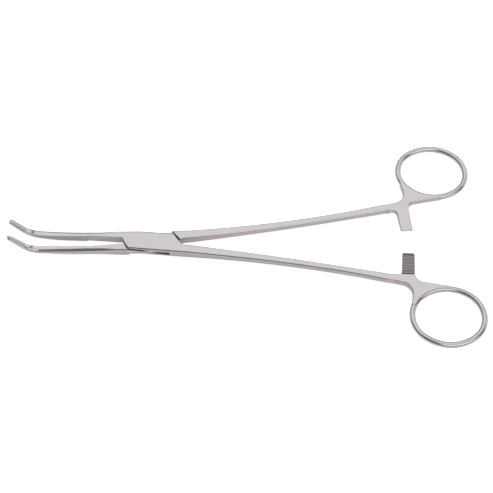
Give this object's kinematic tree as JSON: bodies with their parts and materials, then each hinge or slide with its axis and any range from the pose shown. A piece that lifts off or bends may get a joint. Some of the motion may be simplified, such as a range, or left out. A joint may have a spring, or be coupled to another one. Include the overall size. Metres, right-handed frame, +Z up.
{
  "type": "surgical forceps",
  "caption": "Slender box-lock surgical forceps: long jaws with cross serrations and upturned tips, long bowed shanks, finger rings and a ratchet catch, standing slightly open.",
  "frame": {"origin": "on the pivot axis, at the flat underside of the box lock, which the instrument lies on", "axes": "+X along the instrument from the lock toward the finger rings, jaws toward -X; +Z up along the pivot axis, the side the jaw tips curve to; +Y toward the jaw of the box arm and the ring of the tenon arm"},
  "size_m": [0.2172, 0.1086, 0.0159],
  "materials": {
    "satin_steel": "satin",
    "pin_steel": "satin, ground flush with the lock"
  },
  "bodies": {
    "box_half": {"box_arm": "satin_steel", "pivot_pin": "pin_steel"},
    "tenon_half": {"tenon_arm": "satin_steel"}
  },
  "joints": [
    {"name": "lock_pivot", "type": "hinge", "parent": "box_half", "child": "tenon_half", "pos_m": [0, 0, 0], "axis": [0, 0, 1], "range_deg": [-6.2, 14]}
  ]
}
